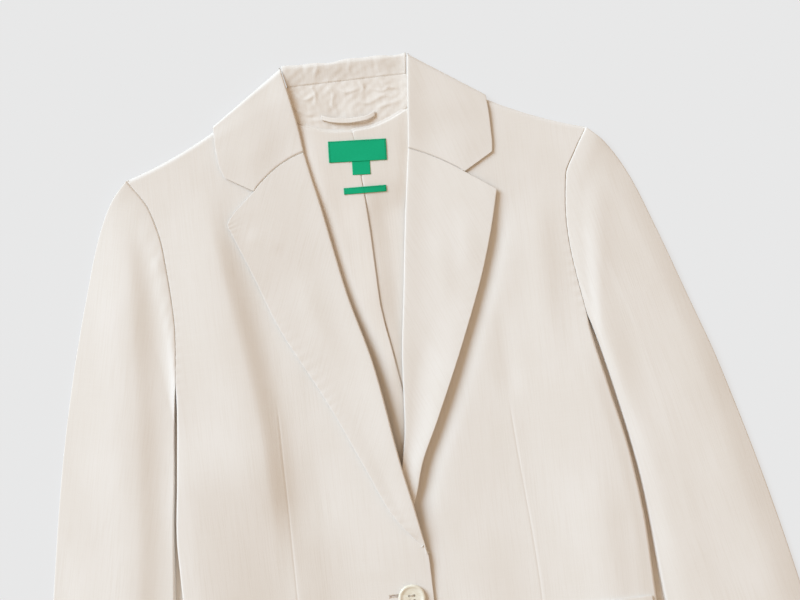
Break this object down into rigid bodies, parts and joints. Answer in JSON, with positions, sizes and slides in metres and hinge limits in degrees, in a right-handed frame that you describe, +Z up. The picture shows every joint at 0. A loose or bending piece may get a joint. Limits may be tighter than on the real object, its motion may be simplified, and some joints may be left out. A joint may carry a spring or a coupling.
{
  "type": "single breasted blazer",
  "caption": "Off-white linen blazer with notched lapels, buttoned and laid flat face up, with set-in sleeves, flap pockets and an open view of the neck.",
  "frame": {"origin": "bottom centre of the bounding box, on the table that the blazer lies on", "axes": "+X across the chest to the wearer's left sleeve, +Y up the garment to the collar, +Z up from the table"},
  "size_m": [0.6976, 0.7294, 0.015],
  "materials": {
    "linen": "matt slubbed plain weave",
    "linen_inside": "matt plain weave, inner side",
    "label_green": "woven satin",
    "button_cream": "polished"
  },
  "bodies": {
    "root": {"back_left": "linen_inside", "back_right": "linen_inside", "front_left": "linen", "front_right": "linen", "lapel_left": "linen", "lapel_right": "linen", "collar_stand": "linen_inside", "collar_fall": "linen", "collar_leaf_left": "linen", "collar_leaf_right": "linen", "top_sleeve_left": "linen", "top_sleeve_right": "linen", "under_sleeve_left": "linen", "under_sleeve_right": "linen", "pocket_flap_left": "linen", "pocket_flap_right": "linen", "locker_loop": "linen_inside", "main_label": "label_green", "size_tab": "label_green", "small_label": "label_green", "button": "button_cream"}
  },
  "joints": []
}
